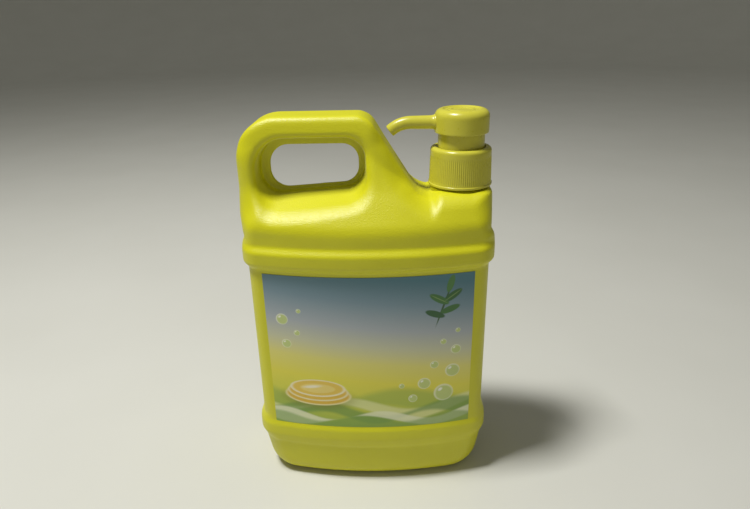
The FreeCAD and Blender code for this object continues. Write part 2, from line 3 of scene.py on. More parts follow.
import bmesh
import bpy
import numpy as np
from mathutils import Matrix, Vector


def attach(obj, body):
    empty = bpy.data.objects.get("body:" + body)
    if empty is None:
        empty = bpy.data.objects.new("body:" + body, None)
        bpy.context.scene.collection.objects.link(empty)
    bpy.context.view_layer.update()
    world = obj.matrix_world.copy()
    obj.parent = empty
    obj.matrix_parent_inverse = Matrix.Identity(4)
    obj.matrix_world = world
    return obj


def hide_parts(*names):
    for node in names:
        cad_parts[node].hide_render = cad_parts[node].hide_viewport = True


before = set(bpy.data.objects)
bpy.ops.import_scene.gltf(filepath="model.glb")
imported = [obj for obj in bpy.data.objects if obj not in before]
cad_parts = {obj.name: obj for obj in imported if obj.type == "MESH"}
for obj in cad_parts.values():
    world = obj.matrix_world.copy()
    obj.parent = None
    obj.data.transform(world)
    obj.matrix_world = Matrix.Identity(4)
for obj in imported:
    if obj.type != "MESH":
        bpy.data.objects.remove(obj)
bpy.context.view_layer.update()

# Camera, floor and light. A hand-held camera a little above the handle, a pale board that curves up far
# away so that no edge shows, one soft lamp high up on the left, a weak one in front and an even dim room.

CAMERA_PLACE = (0.01294, -0.38986, 0.33063)
CAMERA_PITCH = math.radians(22.56)
CAMERA_YAW = math.radians(-1.30)
CAMERA_ROLL = math.radians(-1.21)
IMAGE_WIDTH = 750
FOCAL_PIXELS = 585.41
SENSOR_WIDTH = 36.0


def linear(hex_colour):
    """An sRGB hex colour as linear RGBA: below 0.04045 a straight line, above it a power of 2.4."""
    parts = np.array([int(hex_colour[i:i + 2], 16) for i in (1, 3, 5)]) / 255
    low = parts / 12.92
    high = ((parts + 0.055) / 1.055) ** 2.4
    return (*np.where(parts <= 0.04045, low, high), 1.0)


def add(tree, kind, inputs=None, **settings):
    """A new node of that kind: its settings, then each input as a value or as a link from an output."""
    node = tree.nodes.new(kind)
    for name, value in settings.items():
        setattr(node, name, value)
    for key, value in (inputs or {}).items():
        if isinstance(value, bpy.types.NodeSocket):
            tree.links.new(value, node.inputs[key])
        else:
            node.inputs[key].default_value = value
    return node


def new_material(name):
    """A new material whose node tree is still empty, and that tree."""
    made = bpy.data.materials.new(name)
    made.use_nodes = True
    made.node_tree.nodes.clear()
    return made, made.node_tree


forward = np.array([
    math.sin(CAMERA_YAW) * math.cos(CAMERA_PITCH),
    math.cos(CAMERA_YAW) * math.cos(CAMERA_PITCH),
    -math.sin(CAMERA_PITCH),
])
level = np.array([math.cos(CAMERA_YAW), -math.sin(CAMERA_YAW), 0])
upright = np.cross(level, forward)
right = math.cos(CAMERA_ROLL) * level + math.sin(CAMERA_ROLL) * upright
above = math.cos(CAMERA_ROLL) * upright - math.sin(CAMERA_ROLL) * level
lens = bpy.data.cameras.new("camera")
lens.sensor_width = SENSOR_WIDTH
lens.sensor_fit = "HORIZONTAL"
lens.lens = FOCAL_PIXELS * SENSOR_WIDTH / IMAGE_WIDTH
lens.clip_start = 0.01
camera = bpy.data.objects.new("camera", lens)
turned_to = np.eye(4)
turned_to[:3, 0] = right
turned_to[:3, 1] = above
turned_to[:3, 2] = -forward
turned_to[:3, 3] = CAMERA_PLACE
camera.matrix_world = [list(row) for row in turned_to.T]
bpy.context.scene.collection.objects.link(camera)
bpy.context.scene.camera = camera
bpy.context.scene.view_settings.view_transform = "Standard"

# Painted board: matt and even, with the faint cloudiness of a wiped table.
board_paint, tree = new_material("painted_board")
place = add(tree, "ShaderNodeTexCoord").outputs["Object"]
cloud = add(tree, "ShaderNodeTexNoise", {"Vector": place, "Scale": 6.0, "Detail": 3.0})
tint = add(tree, "ShaderNodeMix", {
    0: cloud.outputs["Fac"], 6: linear("#D2D1C6"), 7: linear("#DAD9CF"),
}, data_type="RGBA")
paint = add(tree, "ShaderNodeBsdfPrincipled", {"Base Color": tint.outputs[2], "Roughness": 0.7})
add(tree, "ShaderNodeOutputMaterial", {"Surface": paint.outputs[0]})

# The board from the middle out, in metres: flat, then a quarter ellipse upwards.
BOARD_FLAT = 3.5
BOARD_BEND = 2.0
BOARD_RISE = 2.4
BOARD_SEGMENTS = 96

bend = np.linspace(0, math.pi / 2, 16)
board_radius = np.concatenate([[0.02, 0.5, 1, 2], BOARD_FLAT + BOARD_BEND * np.sin(bend)])
board_height = np.concatenate([[0, 0, 0, 0], BOARD_RISE * (1 - np.cos(bend))])
ring = np.arange(BOARD_SEGMENTS)
turn = ring * 2 * math.pi / BOARD_SEGMENTS
board_points = np.stack([
    board_radius[:, None] * np.cos(turn),
    board_radius[:, None] * np.sin(turn),
    np.repeat(board_height[:, None], BOARD_SEGMENTS, axis=1),
], axis=-1).reshape(-1, 3)
ahead = (ring + 1) % BOARD_SEGMENTS
near = BOARD_SEGMENTS * np.arange(len(board_radius) - 1)[:, None]
far = near + BOARD_SEGMENTS
board_faces = np.stack([near + ring, far + ring, far + ahead, near + ahead], axis=-1)
floor_mesh = bpy.data.meshes.new("floor")
floor_mesh.from_pydata(board_points.tolist(), [], board_faces.reshape(-1, 4).tolist() + [ring.tolist()])
floor_mesh.shade_smooth()
floor_mesh.materials.append(board_paint)
floor = bpy.data.objects.new("floor", floor_mesh)
bpy.context.scene.collection.objects.link(floor)

room = bpy.data.worlds.new("room")
room.use_nodes = True
room.node_tree.nodes.clear()
glow = add(room.node_tree, "ShaderNodeBackground", {"Color": linear("#DADAD4"), "Strength": 0.23})
add(room.node_tree, "ShaderNodeOutputWorld", {"Surface": glow.outputs[0]})
bpy.context.scene.world = room


def soft_lamp(name, place, target, width, watts):
    """A square area lamp at a place, aimed at a target. Places and width are in metres."""
    data = bpy.data.lights.new(name, "AREA")
    data.shape = "SQUARE"
    data.size = width
    data.energy = watts
    lamp = bpy.data.objects.new(name, data)
    lamp.location = place
    lamp.rotation_euler = (Vector(target) - Vector(place)).to_track_quat("-Z", "Y").to_euler()
    bpy.context.scene.collection.objects.link(lamp)


soft_lamp("overhead", (-0.48, -0.18, 1.58), (0, 0, 0.10), 0.28, 24.0)
soft_lamp("front_fill", (0.25, -1.2, 0.65), (0, 0, 0.12), 0.9, 0.4)

# Bottle: one blow moulding in lemon yellow polyethylene. The outside is where one function of place is
# zero: the body's plan and profile, the handle plate, the hole and its scoops, all run together by
# rounding. The inside is the same form one wall smaller, and the neck is turned and threaded.

WALL = 1.2
NECK_X = 63.1
SHOULDER_FOOT = 196.0
HEEL_ROUND = 12.0
# Rows of the upright part in millimetres: height, how far it reaches to the left and to the right, half
# depth and plan corner. The tops of both bands lie higher at the sides than in front.
BODY_ROWS = np.array([
    (0.0, 77.2, 77.2, 40.5, 26.0),
    (12.0, 81.6, 81.6, 41.5, 25.0),
    (31.0, 84.5, 84.5, 42.5, 22.5),
    (31.8, 84.8, 84.8, 43.2, 22.0),
    (38.5, 85.4, 85.4, 44.6, 15.5),
    (46.5, 85.4, 85.4, 44.4, 15.5),
    (49.8, 85.0, 85.2, 43.0, 15.1),
    (53.0, 81.9, 83.8, 43.0, 12.8),
    (60.0, 81.9, 81.9, 43.0, 12.0),
    (172.8, 81.9, 81.9, 43.0, 12.0),
    (176.0, 85.4, 85.4, 46.0, 15.5),
    (185.2, 85.4, 85.4, 46.0, 15.5),
    (189.0, 85.1, 85.4, 43.0, 14.5),
    (193.0, 83.0, 84.6, 43.0, 12.0),
    (197.0, 83.2, 82.2, 43.0, 12.0),
    (214.0, 83.4, 83.8, 43.0, 12.0),
])
# The faces are bowed in plan. The bow's radius grows from the first to the second over the height.
PANEL_BOW = 290.0
SLOPE_BOW = 2600.0
BOW_RISE = 48.6
# The shoulder: an arc, then a straight slope. Its plan corners grow, and its left side is tucked in under
# the handle.
SHOULDER_ROUND = 16.0
SLOPE = math.radians(55.8)
CORNER_GROWTH = 7.0
TUCK = 9.0
TUCK_FOOT = 203.0
TUCK_RISE = 30.0
# The body under the handle ends at a level top. To the right lies the mound that carries the neck, with
# a lower saddle between it and the strut.
BODY_TOP = 254.0
MOUND_TOP = 220.0
SADDLE_DROP = 3.8
SADDLE_ROUND = 7.0
SADDLE_RIGHT = NECK_X - 14
# The strut's right side passes through this place and runs left by the second number for each 1 up. The
# body lies inside it by the inset.
STRUT_PLACE = (33.6, 218.0)
STRUT_RUN = 0.627
STRUT_ROUND = 6.2
STRUT_INSET = 6.0
# The handle plate leans out to the left, and its front leans back towards the top.
HANDLE_TOP = 269.6
HANDLE_LEFT = 83.4
HANDLE_LEAN = 2.6
HANDLE_CORNER = 28.5
HANDLE_HALF_DEPTH = 20.0
FRONT_LEAN = 0.38
FRONT_SET_BACK = 5.2
# The handle's hole: its ends, its top and the height of its floor at either end. The rim is the ledge
# round the web, and the scoops widen the hole from this depth out.
HOLE = {"left": -68.4, "right": -2.6, "top": 252.6, "low_left": 216.8, "low_right": 221.4}
HOLE_RIM = 3.5
HOLE_EDGE = 6.0
SCOOP_FROM = 10.0
SCOOP_DEPTH = 36.0
SCOOP_SIDE = 5.0
SCOOP_DROP = 15.0
WEB_HALF = 1.3


def ease(share):
    """From 0 to 1 with level ends: three times the square less twice the cube."""
    share = np.clip(share, 0, 1)
    return share ** 2 * (3 - 2 * share)


def profile_tables():
    """Left and right side, middle, half depth, corner and bow against height. The rows are joined by
    straight lines, the shoulder's arc and slope are worked out above them, and all but the bow are
    softened by a bell-shaped mean whose spread is 0.9 mm."""
    heights = np.arange(-5, 285, 0.1)
    left, right, depth, corner = [np.interp(heights, BODY_ROWS[:, 0], column) for column in BODY_ROWS.T[1:]]
    turn = math.pi / 2 - SLOPE
    arc_height = SHOULDER_FOOT + SHOULDER_ROUND * math.sin(turn)
    on_arc = np.clip((heights - SHOULDER_FOOT) / SHOULDER_ROUND, 0, math.sin(turn))
    drop = SHOULDER_ROUND * (1 - np.sqrt(1 - on_arc ** 2))
    depth = depth - drop - np.clip(heights - arc_height, 0, None) / math.tan(SLOPE)
    share = np.clip((heights - SHOULDER_FOOT) / BOW_RISE, 0, 1)
    corner = corner + CORNER_GROWTH * np.clip(3 * share, 0, 1)
    corner = np.minimum(corner, np.maximum(0.75 * depth, 3))
    bow = 1 / ((1 - share) / PANEL_BOW + share / SLOPE_BOW)
    lean = np.clip(heights - SHOULDER_FOOT, 0, None) / (HANDLE_TOP - SHOULDER_FOOT)
    shift = HANDLE_LEAN * lean - TUCK * ease((heights - TUCK_FOOT) / TUCK_RISE)
    kernel = np.exp(-0.5 * (np.arange(-30, 31) / 9) ** 2)
    kernel = kernel / kernel.sum()

    def soft(values):
        padded = np.pad(values, 30, mode="edge")
        return np.convolve(padded, kernel, mode="valid")

    return heights, soft(left + shift), soft(right), soft(-shift / 2), soft(depth), soft(corner), bow


TABLES = profile_tables()


def both(a, b, radius):
    """Inside both a and b, with the edge between them rounded by the radius."""
    reach = np.hypot(np.maximum(a + radius, 0), np.maximum(b + radius, 0))
    return np.minimum(np.maximum(a, b), -radius) + reach


def either(a, b, radius):
    """Inside a or b, with the corner between them filled by the radius."""
    return -both(-a, -b, radius)


def strut_side(x, z):
    """Distance to the right of the strut's sloping side."""
    across = x - STRUT_PLACE[0] + STRUT_RUN * (z - STRUT_PLACE[1])
    return across / math.sqrt(1 + STRUT_RUN ** 2)


def hole_field(x, z, rim, widen, drop):
    """Distance outside the handle's hole, whose four corners are rounded by 13 to 16 mm. A rim moves its
    left end and top out, and its right end by 0.4 of that. Widening moves both ends out and a drop
    lowers the floor."""
    run = (HOLE["low_right"] - HOLE["low_left"]) / (HOLE["right"] - HOLE["left"])
    floor_height = HOLE["low_left"] + run * (x - HOLE["left"]) - drop
    below = (floor_height - z) / math.sqrt(1 + run * run)
    top_left = both(HOLE["left"] - rim - SCOOP_SIDE * widen - x, z - HOLE["top"] - rim, 16 + rim)
    low_right = both(x - HOLE["right"] - 0.4 * rim - SCOOP_SIDE * widen, below, 13)
    low_left = both(top_left, below, 16)
    return both(both(top_left, low_right, 14), low_left, 0.01)


def jug_field(x, y, z):
    """Distance outside the bottle without its neck, in millimetres, for arrays of places: the body with
    its rounded plan corners, cut off by the mound and the strut, then the handle plate, less the hole."""
    y = np.abs(y)
    left, right, middle, depth, corner, bow = [np.interp(z, TABLES[0], table) for table in TABLES[1:]]
    face = np.hypot(x - middle, y + bow - depth) - bow
    side = np.maximum(x - right, -left - x)
    turn = math.pi / 2 - np.arcsin(right / bow)
    form = both(face, side, corner * np.tan(turn / 2) * np.sin(turn))
    form = both(form, -z, HEEL_ROUND)

    # The crest's edge is rounded most over the saddle and least at the right end of the mound.
    inset = STRUT_INSET * np.clip((z - 222) / 20, 0, 1)
    dip = ease((SADDLE_RIGHT - x) / 8)
    crest = either(strut_side(x, z) + inset, z - MOUND_TOP + SADDLE_DROP * dip, SADDLE_ROUND)
    form = both(form, crest, 8.3 + 4.7 * dip - 6 * ease((x - 68) / 12))
    form = both(form, z - BODY_TOP, 10)

    # The plate's front edges are rounded by 11 mm low down and 4 mm at the top, and its root on the body
    # by 10 mm, or 1.5 mm where it ends at the strut's side.
    lean = np.clip(z - SHOULDER_FOOT, 0, None) / (HANDLE_TOP - SHOULDER_FOOT)
    plate = both(-x - HANDLE_LEFT - HANDLE_LEAN * ease(3 * lean), z - HANDLE_TOP, HANDLE_CORNER)
    plate = both(plate, strut_side(x, z), STRUT_ROUND)
    plate = both(plate, SHOULDER_FOOT - z, 0.1)
    tilted = y - HANDLE_HALF_DEPTH + FRONT_SET_BACK - FRONT_LEAN * (HANDLE_TOP - z)
    tilted = tilted / math.hypot(1, FRONT_LEAN)
    plate = both(plate, both(tilted, y - HANDLE_HALF_DEPTH, 8), 11 - 7 * ease((z - 250) / 14))
    form = either(form, plate, 10 - 8.5 * ease((strut_side(x, z) + 12) / 9))

    # The scoops under the hole get shallower from its left end to its right.
    widen = np.clip((y - SCOOP_FROM) / SCOOP_DEPTH, 0, None)
    rise = 1 - 0.4 * np.clip((x - HOLE["left"]) / 66, 0, 1)
    hole = hole_field(x, z, HOLE_RIM, widen, SCOOP_DROP * widen * rise)
    return both(form, -hole, HOLE_EDGE)


def skin_field(x, y, z):
    """The jug with the web and the root of the neck. The web is the thin pinched sheet round the handle's
    hole, from 3 mm inside the hole's outline to 2 mm behind the rim."""
    form = jug_field(x, y, z)
    hole = hole_field(x, z, 0, 0, 0)
    web = both(both(np.abs(y) - WEB_HALF, -(hole + 3), 1.0), hole - HOLE_RIM - 2, 0.3)
    form = either(form, web, 1.5)
    root = both(np.hypot(x - NECK_X, y) - 17.6, np.maximum(z - MOUND_TOP - 0.5, 205 - z), 0.4)
    return either(form, root, 2)


def zero_surface(field, xs, ys, zs):
    """Points and four-sided faces of the surface where the field is zero. Each cell of the grid that the
    surface crosses gets one point: the mean of the crossings on its edges, then moved along the field's
    slope until the field is zero. Each grid edge that the surface crosses gets one face."""
    value = field(xs[:, None, None], ys[None, :, None], zs[None, None, :])
    inside = value < 0
    coords = np.stack(np.meshgrid(xs, ys, zs, indexing="ij"), axis=-1)
    cells = tuple(n - 1 for n in value.shape)
    total = np.zeros(cells + (3,))
    count = np.zeros(cells)
    crossed = []
    for axis in range(3):
        low = [slice(None)] * 3
        high = [slice(None)] * 3
        low[axis] = slice(None, -1)
        high[axis] = slice(1, None)
        low, high = tuple(low), tuple(high)
        cross = inside[low] != inside[high]
        share = np.where(cross, value[low] / np.where(cross, value[low] - value[high], 1), 0)[..., None]
        point = coords[low] * (1 - share) + coords[high] * share
        others = [other for other in range(3) if other != axis]
        for step_a in (0, 1):
            for step_b in (0, 1):
                window = [slice(None)] * 3
                window[others[0]] = slice(step_a, step_a + cells[others[0]])
                window[others[1]] = slice(step_b, step_b + cells[others[1]])
                window = tuple(window)
                total += np.where(cross[window][..., None], point[window], 0)
                count += cross[window]
        crossed.append((axis, others, cross, inside[low]))
    used = count > 0
    number = np.full(cells, -1)
    number[used] = np.arange(used.sum())
    points = total[used] / count[used][:, None]

    # Five moves of at most 1 mm, with the slope measured over this step to either side.
    step = 0.02
    for _ in range(5):
        x, y, z = points.T
        here = field(x, y, z)
        slope = np.stack([
            field(x + step, y, z) - field(x - step, y, z),
            field(x, y + step, z) - field(x, y - step, z),
            field(x, y, z + step) - field(x, y, z - step),
        ], axis=1) / (2 * step)
        slope_squared = np.maximum((slope ** 2).sum(axis=1), 0.25)
        move = -slope * (here / slope_squared)[:, None]
        points = points + np.clip(move, -1, 1)

    faces = []
    for axis, others, cross, start_inside in crossed:
        inner = [slice(None)] * 3
        inner[others[0]] = slice(1, -1)
        inner[others[1]] = slice(1, -1)
        place = np.argwhere(cross[tuple(inner)])
        place[:, others[0]] += 1
        place[:, others[1]] += 1
        corners = []
        for back_a, back_b in ((1, 1), (0, 1), (0, 0), (1, 0)):
            cell = place.copy()
            cell[:, others[0]] -= back_a
            cell[:, others[1]] -= back_b
            corners.append(number[tuple(cell.T)])
        quad = np.stack(corners, axis=1)
        out = start_inside[tuple(place.T)]
        if axis == 1:
            out = ~out
        quad[~out] = quad[~out][:, ::-1]
        faces.append(quad)
    return points, np.concatenate(faces)


def graded(low, high, wide, fine=None, zones=()):
    """Steps from low to high: fine ones in the zones and wide ones elsewhere."""
    marks = [low]
    while marks[-1] < high:
        near = any(start <= marks[-1] < end for start, end in zones)
        marks.append(marks[-1] + (fine if near else wide))
    return np.array(marks)


def grid_faces(rows, columns, close_rows, close_columns):
    """Four-sided faces of a grid of points, row after row, closed round either way."""
    r = np.arange(rows if close_rows else rows - 1)
    c = np.arange(columns if close_columns else columns - 1)
    r, c = np.meshgrid(r, c, indexing="ij")
    ahead_r, ahead_c = (r + 1) % rows, (c + 1) % columns
    quads = [r * columns + c, r * columns + ahead_c, ahead_r * columns + ahead_c, ahead_r * columns + c]
    return np.stack(quads, axis=-1).reshape(-1, 4)


def piece(name, shells, merge=0.0):
    """A smooth-shaded mesh object from shells of (points in millimetres, four-sided faces). With a merge
    distance in millimetres, closer points are joined and all faces turned outwards."""
    points = np.concatenate([shell[0] for shell in shells]) / 1000
    starts = np.cumsum([0] + [len(shell[0]) for shell in shells[:-1]])
    faces = np.concatenate([shell[1] + start for shell, start in zip(shells, starts)])
    mesh = bpy.data.meshes.new(name)
    mesh.vertices.add(len(points))
    mesh.vertices.foreach_set("co", points.ravel())
    mesh.loops.add(faces.size)
    mesh.loops.foreach_set("vertex_index", faces.ravel())
    mesh.polygons.add(len(faces))
    mesh.polygons.foreach_set("loop_start", np.arange(0, faces.size, 4))
    mesh.update(calc_edges=True)
    mesh.validate()
    if merge:
        work = bmesh.new()
        work.from_mesh(mesh)
        bmesh.ops.remove_doubles(work, verts=work.verts, dist=merge / 1000)
        bmesh.ops.recalc_face_normals(work, faces=work.faces)
        work.to_mesh(mesh)
        work.free()
    mesh.shade_smooth()
    made = bpy.data.objects.new(name, mesh)
    bpy.context.scene.collection.objects.link(made)
    return made


def rounded_line(corners):
    """Points along a line through (radius, height, rounding) corners, each corner an arc of its rounding
    that is tangent to both runs."""
    marks = np.array([corner[:2] for corner in corners], float)
    line = [marks[:1]]
    for i in range(1, len(corners) - 1):
        rounding = corners[i][2]
        back = marks[i - 1] - marks[i]
        ahead = marks[i + 1] - marks[i]
        back = back / np.linalg.norm(back)
        ahead = ahead / np.linalg.norm(ahead)
        half = math.acos(np.clip(back @ ahead, -1, 1)) / 2
        if rounding == 0 or half > 1.55:
            line.append(marks[i:i + 1])
            continue
        run = rounding / math.tan(half)
        middle = marks[i] + (back + ahead) / np.linalg.norm(back + ahead) * rounding / math.sin(half)
        start = marks[i] + back * run - middle
        end = marks[i] + ahead * run - middle
        turn = math.pi - 2 * half
        steps = np.linspace(0, 1, 7)[:, None]
        arc = start * np.sin((1 - steps) * turn) + end * np.sin(steps * turn)
        line.append(middle + arc / math.sin(turn))
    line.append(marks[-1:])
    return np.concatenate(line)


def fine_line(line, step):
    """The same line with further points, so that no run is longer than the step."""
    runs = np.linalg.norm(np.diff(line, axis=0), axis=1)
    along = np.concatenate([[0], np.cumsum(runs)])
    parts = [np.linspace(a, b, max(2, int((b - a) / step) + 2))[:-1] for a, b in zip(along[:-1], along[1:])]
    marks = np.append(np.concatenate(parts), along[-1])
    return np.stack([np.interp(marks, along, line[:, 0]), np.interp(marks, along, line[:, 1])], axis=1)


def turned_shell(line, segments, ripple=None, closed=True):
    """The line of (radius, height) points carried round the neck's axis. A ripple adds to the radius."""
    angle = np.arange(segments) * 2 * math.pi / segments
    radius = np.repeat(line[None, :, 0], segments, axis=0)
    height = np.repeat(line[None, :, 1], segments, axis=0)
    if ripple is not None:
        radius = radius + ripple(angle[:, None], line[None, :, 0], line[None, :, 1])
    x = NECK_X + radius * np.cos(angle)[:, None]
    y = radius * np.sin(angle)[:, None]
    points = np.stack([x, y, height], axis=-1).reshape(-1, 3)
    return points, grid_faces(segments, len(line), True, closed)


def keep_faces(shell, keep):
    """The shell without the faces whose middle the test leaves out."""
    points, faces = shell
    return points, faces[keep(points[faces].mean(axis=1))]


THREAD_FOOT = 226.0
THREAD_PITCH = 4.2
THREAD_HEIGHT = 1.1
THREAD_TURNS = 3
# The neck's section: radius, height and rounding of each corner.
NECK_CORNERS = [
    (15.4, 230.0, 0), (15.4, 241.3, 0.3), (17.6, 241.3, 0.5), (17.6, 220.2, 0.5), (20.2, 220.2, 0.9),
    (20.2, 218.0, 0.9), (17.4, 217.4, 0.3), (16.8, 215.6, 0.3), (15.4, 215.6, 0.3), (15.4, 230.0, 0),
]


def thread(angle, radius, height):
    """How far the thread stands out, on the neck's outer wall only: a sine of the nearness to the middle
    of the closest turn."""
    turns = (height - THREAD_FOOT) / THREAD_PITCH - angle / (2 * math.pi)
    nearest = np.round(turns)
    ridge = np.clip(1 - np.abs((turns - nearest) * THREAD_PITCH) / THREAD_HEIGHT, 0, 1)
    in_reach = (nearest >= 0) & (nearest < THREAD_TURNS) & (radius > 17.4)
    return THREAD_HEIGHT * np.sin(ridge * math.pi / 2) * in_reach * np.clip((height - 222) / 2, 0, 1)


# The grids' steps in millimetres. The outside's are shorter over the bands and through the web.
OUTER_STEP = 1.85
BAND_STEP = 0.85
BAND_ZONES = [(29.0, 54.0), (171.0, 194.0)]
WEB_STEP = 0.8
WEB_ZONE = (0.0, 3.5)
INNER_STEP = 3.6
# The turned neck takes over within this radius and above this height.
BORE_CUT = 16.5
BORE_FOOT = 213.0

half_depths = graded(0.4, 49, OUTER_STEP, WEB_STEP, [WEB_ZONE])
outer = zero_surface(
    skin_field,
    graded(-91, 88, OUTER_STEP),
    np.concatenate([-half_depths[::-1], half_depths]),
    graded(-3, 274, OUTER_STEP, BAND_STEP, BAND_ZONES),
)
inner = zero_surface(
    lambda x, y, z: jug_field(x, y, z) + WALL,
    graded(-91, 88, INNER_STEP),
    graded(-48.5, 49, INNER_STEP),
    graded(-2, 274, INNER_STEP),
)


def off_the_bore(middles):
    """Which places are outside the neck's bore."""
    across = np.hypot(middles[:, 0] - NECK_X, middles[:, 1])
    return (across > BORE_CUT) | (middles[:, 2] < BORE_FOOT)


outer = keep_faces(outer, off_the_bore)
inner = keep_faces((inner[0], inner[1][:, ::-1]), off_the_bore)
neck = turned_shell(fine_line(rounded_line(NECK_CORNERS), 0.6)[:-1], 180, thread)
bottle = piece("bottle_moulding", [outer, inner, (neck[0], neck[1][:, ::-1])])

# Blow-moulded high-density polyethylene from a sand-blasted mould: an even satin with a fine grain
# that breaks up the highlights. The real grain is about 0.3 mm and is drawn at 0.8 mm to show.
satin_hdpe, tree = new_material("blow_moulded_hdpe_lemon")
place = add(tree, "ShaderNodeTexCoord").outputs["Object"]
grain = add(tree, "ShaderNodeTexNoise", {"Vector": place, "Scale": 1250.0, "Detail": 2.0, "Roughness": 0.6})
patches = add(tree, "ShaderNodeTexNoise", {"Vector": place, "Scale": 60.0, "Detail": 3.0})
tint = add(tree, "ShaderNodeMix", {
    0: patches.outputs["Fac"], 6: linear("#D2CE12"), 7: linear("#DAD718"),
}, data_type="RGBA")
gloss = add(tree, "ShaderNodeMapRange", {
    "Value": grain.outputs["Fac"], "From Min": 0.3, "From Max": 0.7, "To Min": 0.34, "To Max": 0.46,
})
bump = add(tree, "ShaderNodeBump", {"Height": grain.outputs["Fac"], "Strength": 0.6, "Distance": 0.0004})
plastic = add(tree, "ShaderNodeBsdfPrincipled", {
    "Base Color": tint.outputs[2], "Roughness": gloss.outputs[0], "Normal": bump.outputs[0], "IOR": 1.54,
})
add(tree, "ShaderNodeOutputMaterial", {"Surface": plastic.outputs[0]})
bottle.data.materials.append(satin_hdpe)
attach(bottle, "jug")
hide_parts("bottle")

# Labels: printed film on the bowed panels, front and back, with a slight sheen. The print is a wash from
# slate blue to lime with plain motifs: swells of water, a stack of plates, bubbles and a sprig.

# The middle of the label's height, in metres.
LABEL_MIDDLE = 0.110
# The wash: share of the label's height from the foot up, and colour.
WASH = [
    (0.0, "#A6BC42"), (0.18, "#D8D94A"), (0.32, "#EAE04E"), (0.45, "#E6DE7C"),
    (0.56, "#CFCFAE"), (0.68, "#B0B7BC"), (0.84, "#8199A6"), (1.0, "#54808E"),
]
# Each swell lies between two sine lines (height, amplitude, waves across 100 mm, turn), in millimetres
# from the label's middle, and has a colour, a strength and the width of its soft edge.
SWELLS = [
    ((-33, 6, 0.9, 0.4), (-46, 5, 0.8, 1.4), "#8FB04C", 0.55, 7.0),
    ((-40, 5, 1.1, 2.6), (-47, 7, 0.9, 3.0), "#E9EBA6", 0.75, 3.0),
    ((-44, 6, 1.0, 4.0), (-52, 5, 1.3, 4.4), "#6F9A45", 0.70, 3.5),
    ((-50, 4, 1.4, 0.9), (-55, 5, 1.0, 1.9), "#F2F4CE", 0.80, 2.0),
    ((-53, 3, 1.6, 2.2), (-75, 0, 1.0, 0.0), "#7FA64A", 0.65, 3.0),
]
# Ellipses in the same measure: middle, half width, half height, turn in degrees, colour, strength and the
# soft share of the edge.
PLATES = [
    (-38, -36, 25, 9.0, 0, "#8C8A2A", 0.55, 0.35), (-38, -33.5, 24, 8.6, 0, "#F3E9A8", 1.0, 0.05),
    (-38, -33.2, 22.6, 7.8, 0, "#E3B93C", 1.0, 0.06), (-38, -30.5, 22, 7.9, 0, "#F6EDB8", 1.0, 0.05),
    (-38, -30.2, 20.7, 7.1, 0, "#E8C046", 1.0, 0.06), (-38, -27.5, 20, 7.2, 0, "#FAF3CC", 1.0, 0.05),
    (-38, -27.3, 18.4, 6.3, 0, "#EDCB55", 1.0, 0.08), (-38, -27.6, 12.5, 3.9, 0, "#F4DC7C", 1.0, 0.10),
    (-42, -26.4, 6.0, 1.1, 8, "#FFFBE6", 0.8, 0.60),
]
SPRIG = [
    (50.5, 37, 0.7, 15, -18, "#41603A", 1.0, 0.3), (56.5, 44, 7.5, 2.6, 35, "#3C6A38", 1.0, 0.12),
    (47.5, 42, 7.5, 2.6, 150, "#4A7A40", 1.0, 0.12), (55.0, 34, 7.0, 2.4, 20, "#47763D", 1.0, 0.12),
    (44.8, 31, 7.0, 2.4, 160, "#38633A", 1.0, 0.12), (55.0, 53, 6.5, 2.3, 75, "#568748", 1.0, 0.12),
    (56.5, 44, 6.2, 0.35, 35, "#86A860", 0.8, 0.5), (47.5, 42, 6.2, 0.35, 150, "#86A860", 0.8, 0.5),
]
# Bubbles: middle and radius, in the same measure.
BUBBLES = [
    (52, -33, 7.0), (38, -24, 4.6), (58, -15, 5.2), (45, -9, 3.0), (60, 2, 3.6), (30, -36, 3.2),
    (51, 9, 2.2), (22, -25, 2.0), (61, 17, 1.8), (-58, 8, 3.4), (-50, 17, 2.2), (-60, 27, 4.2),
    (-48, 34, 1.7),
]


def laid_over(tree, under, mask, shade):
    """The colour under it, covered by a plain shade as far as the mask goes."""
    mix = add(tree, "ShaderNodeMix", {0: mask, 6: under, 7: linear(shade)}, data_type="RGBA")
    return mix.outputs[2]


def ellipse(tree, place, under, x, z, half_width, half_height, turn, shade, strength, soft):
    """Lays a soft-edged ellipse over the print: its mask falls off as the distance from its middle, in
    half widths and half heights along its turned axes, comes to one."""
    own = add(tree, "ShaderNodeMapping", {
        "Vector": place, "Location": (x, 0, z), "Rotation": (0, -math.radians(turn), 0),
        "Scale": (half_width, 1, half_height),
    }, vector_type="TEXTURE")
    away = add(tree, "ShaderNodeVectorMath", {0: own.outputs[0]}, operation="LENGTH")
    mask = add(tree, "ShaderNodeMapRange", {
        "Value": away.outputs["Value"], "From Min": 1 - soft, "From Max": 1 + soft,
        "To Min": strength, "To Max": 0.0,
    }, interpolation_type="SMOOTHSTEP")
    return laid_over(tree, under, mask.outputs[0], shade)


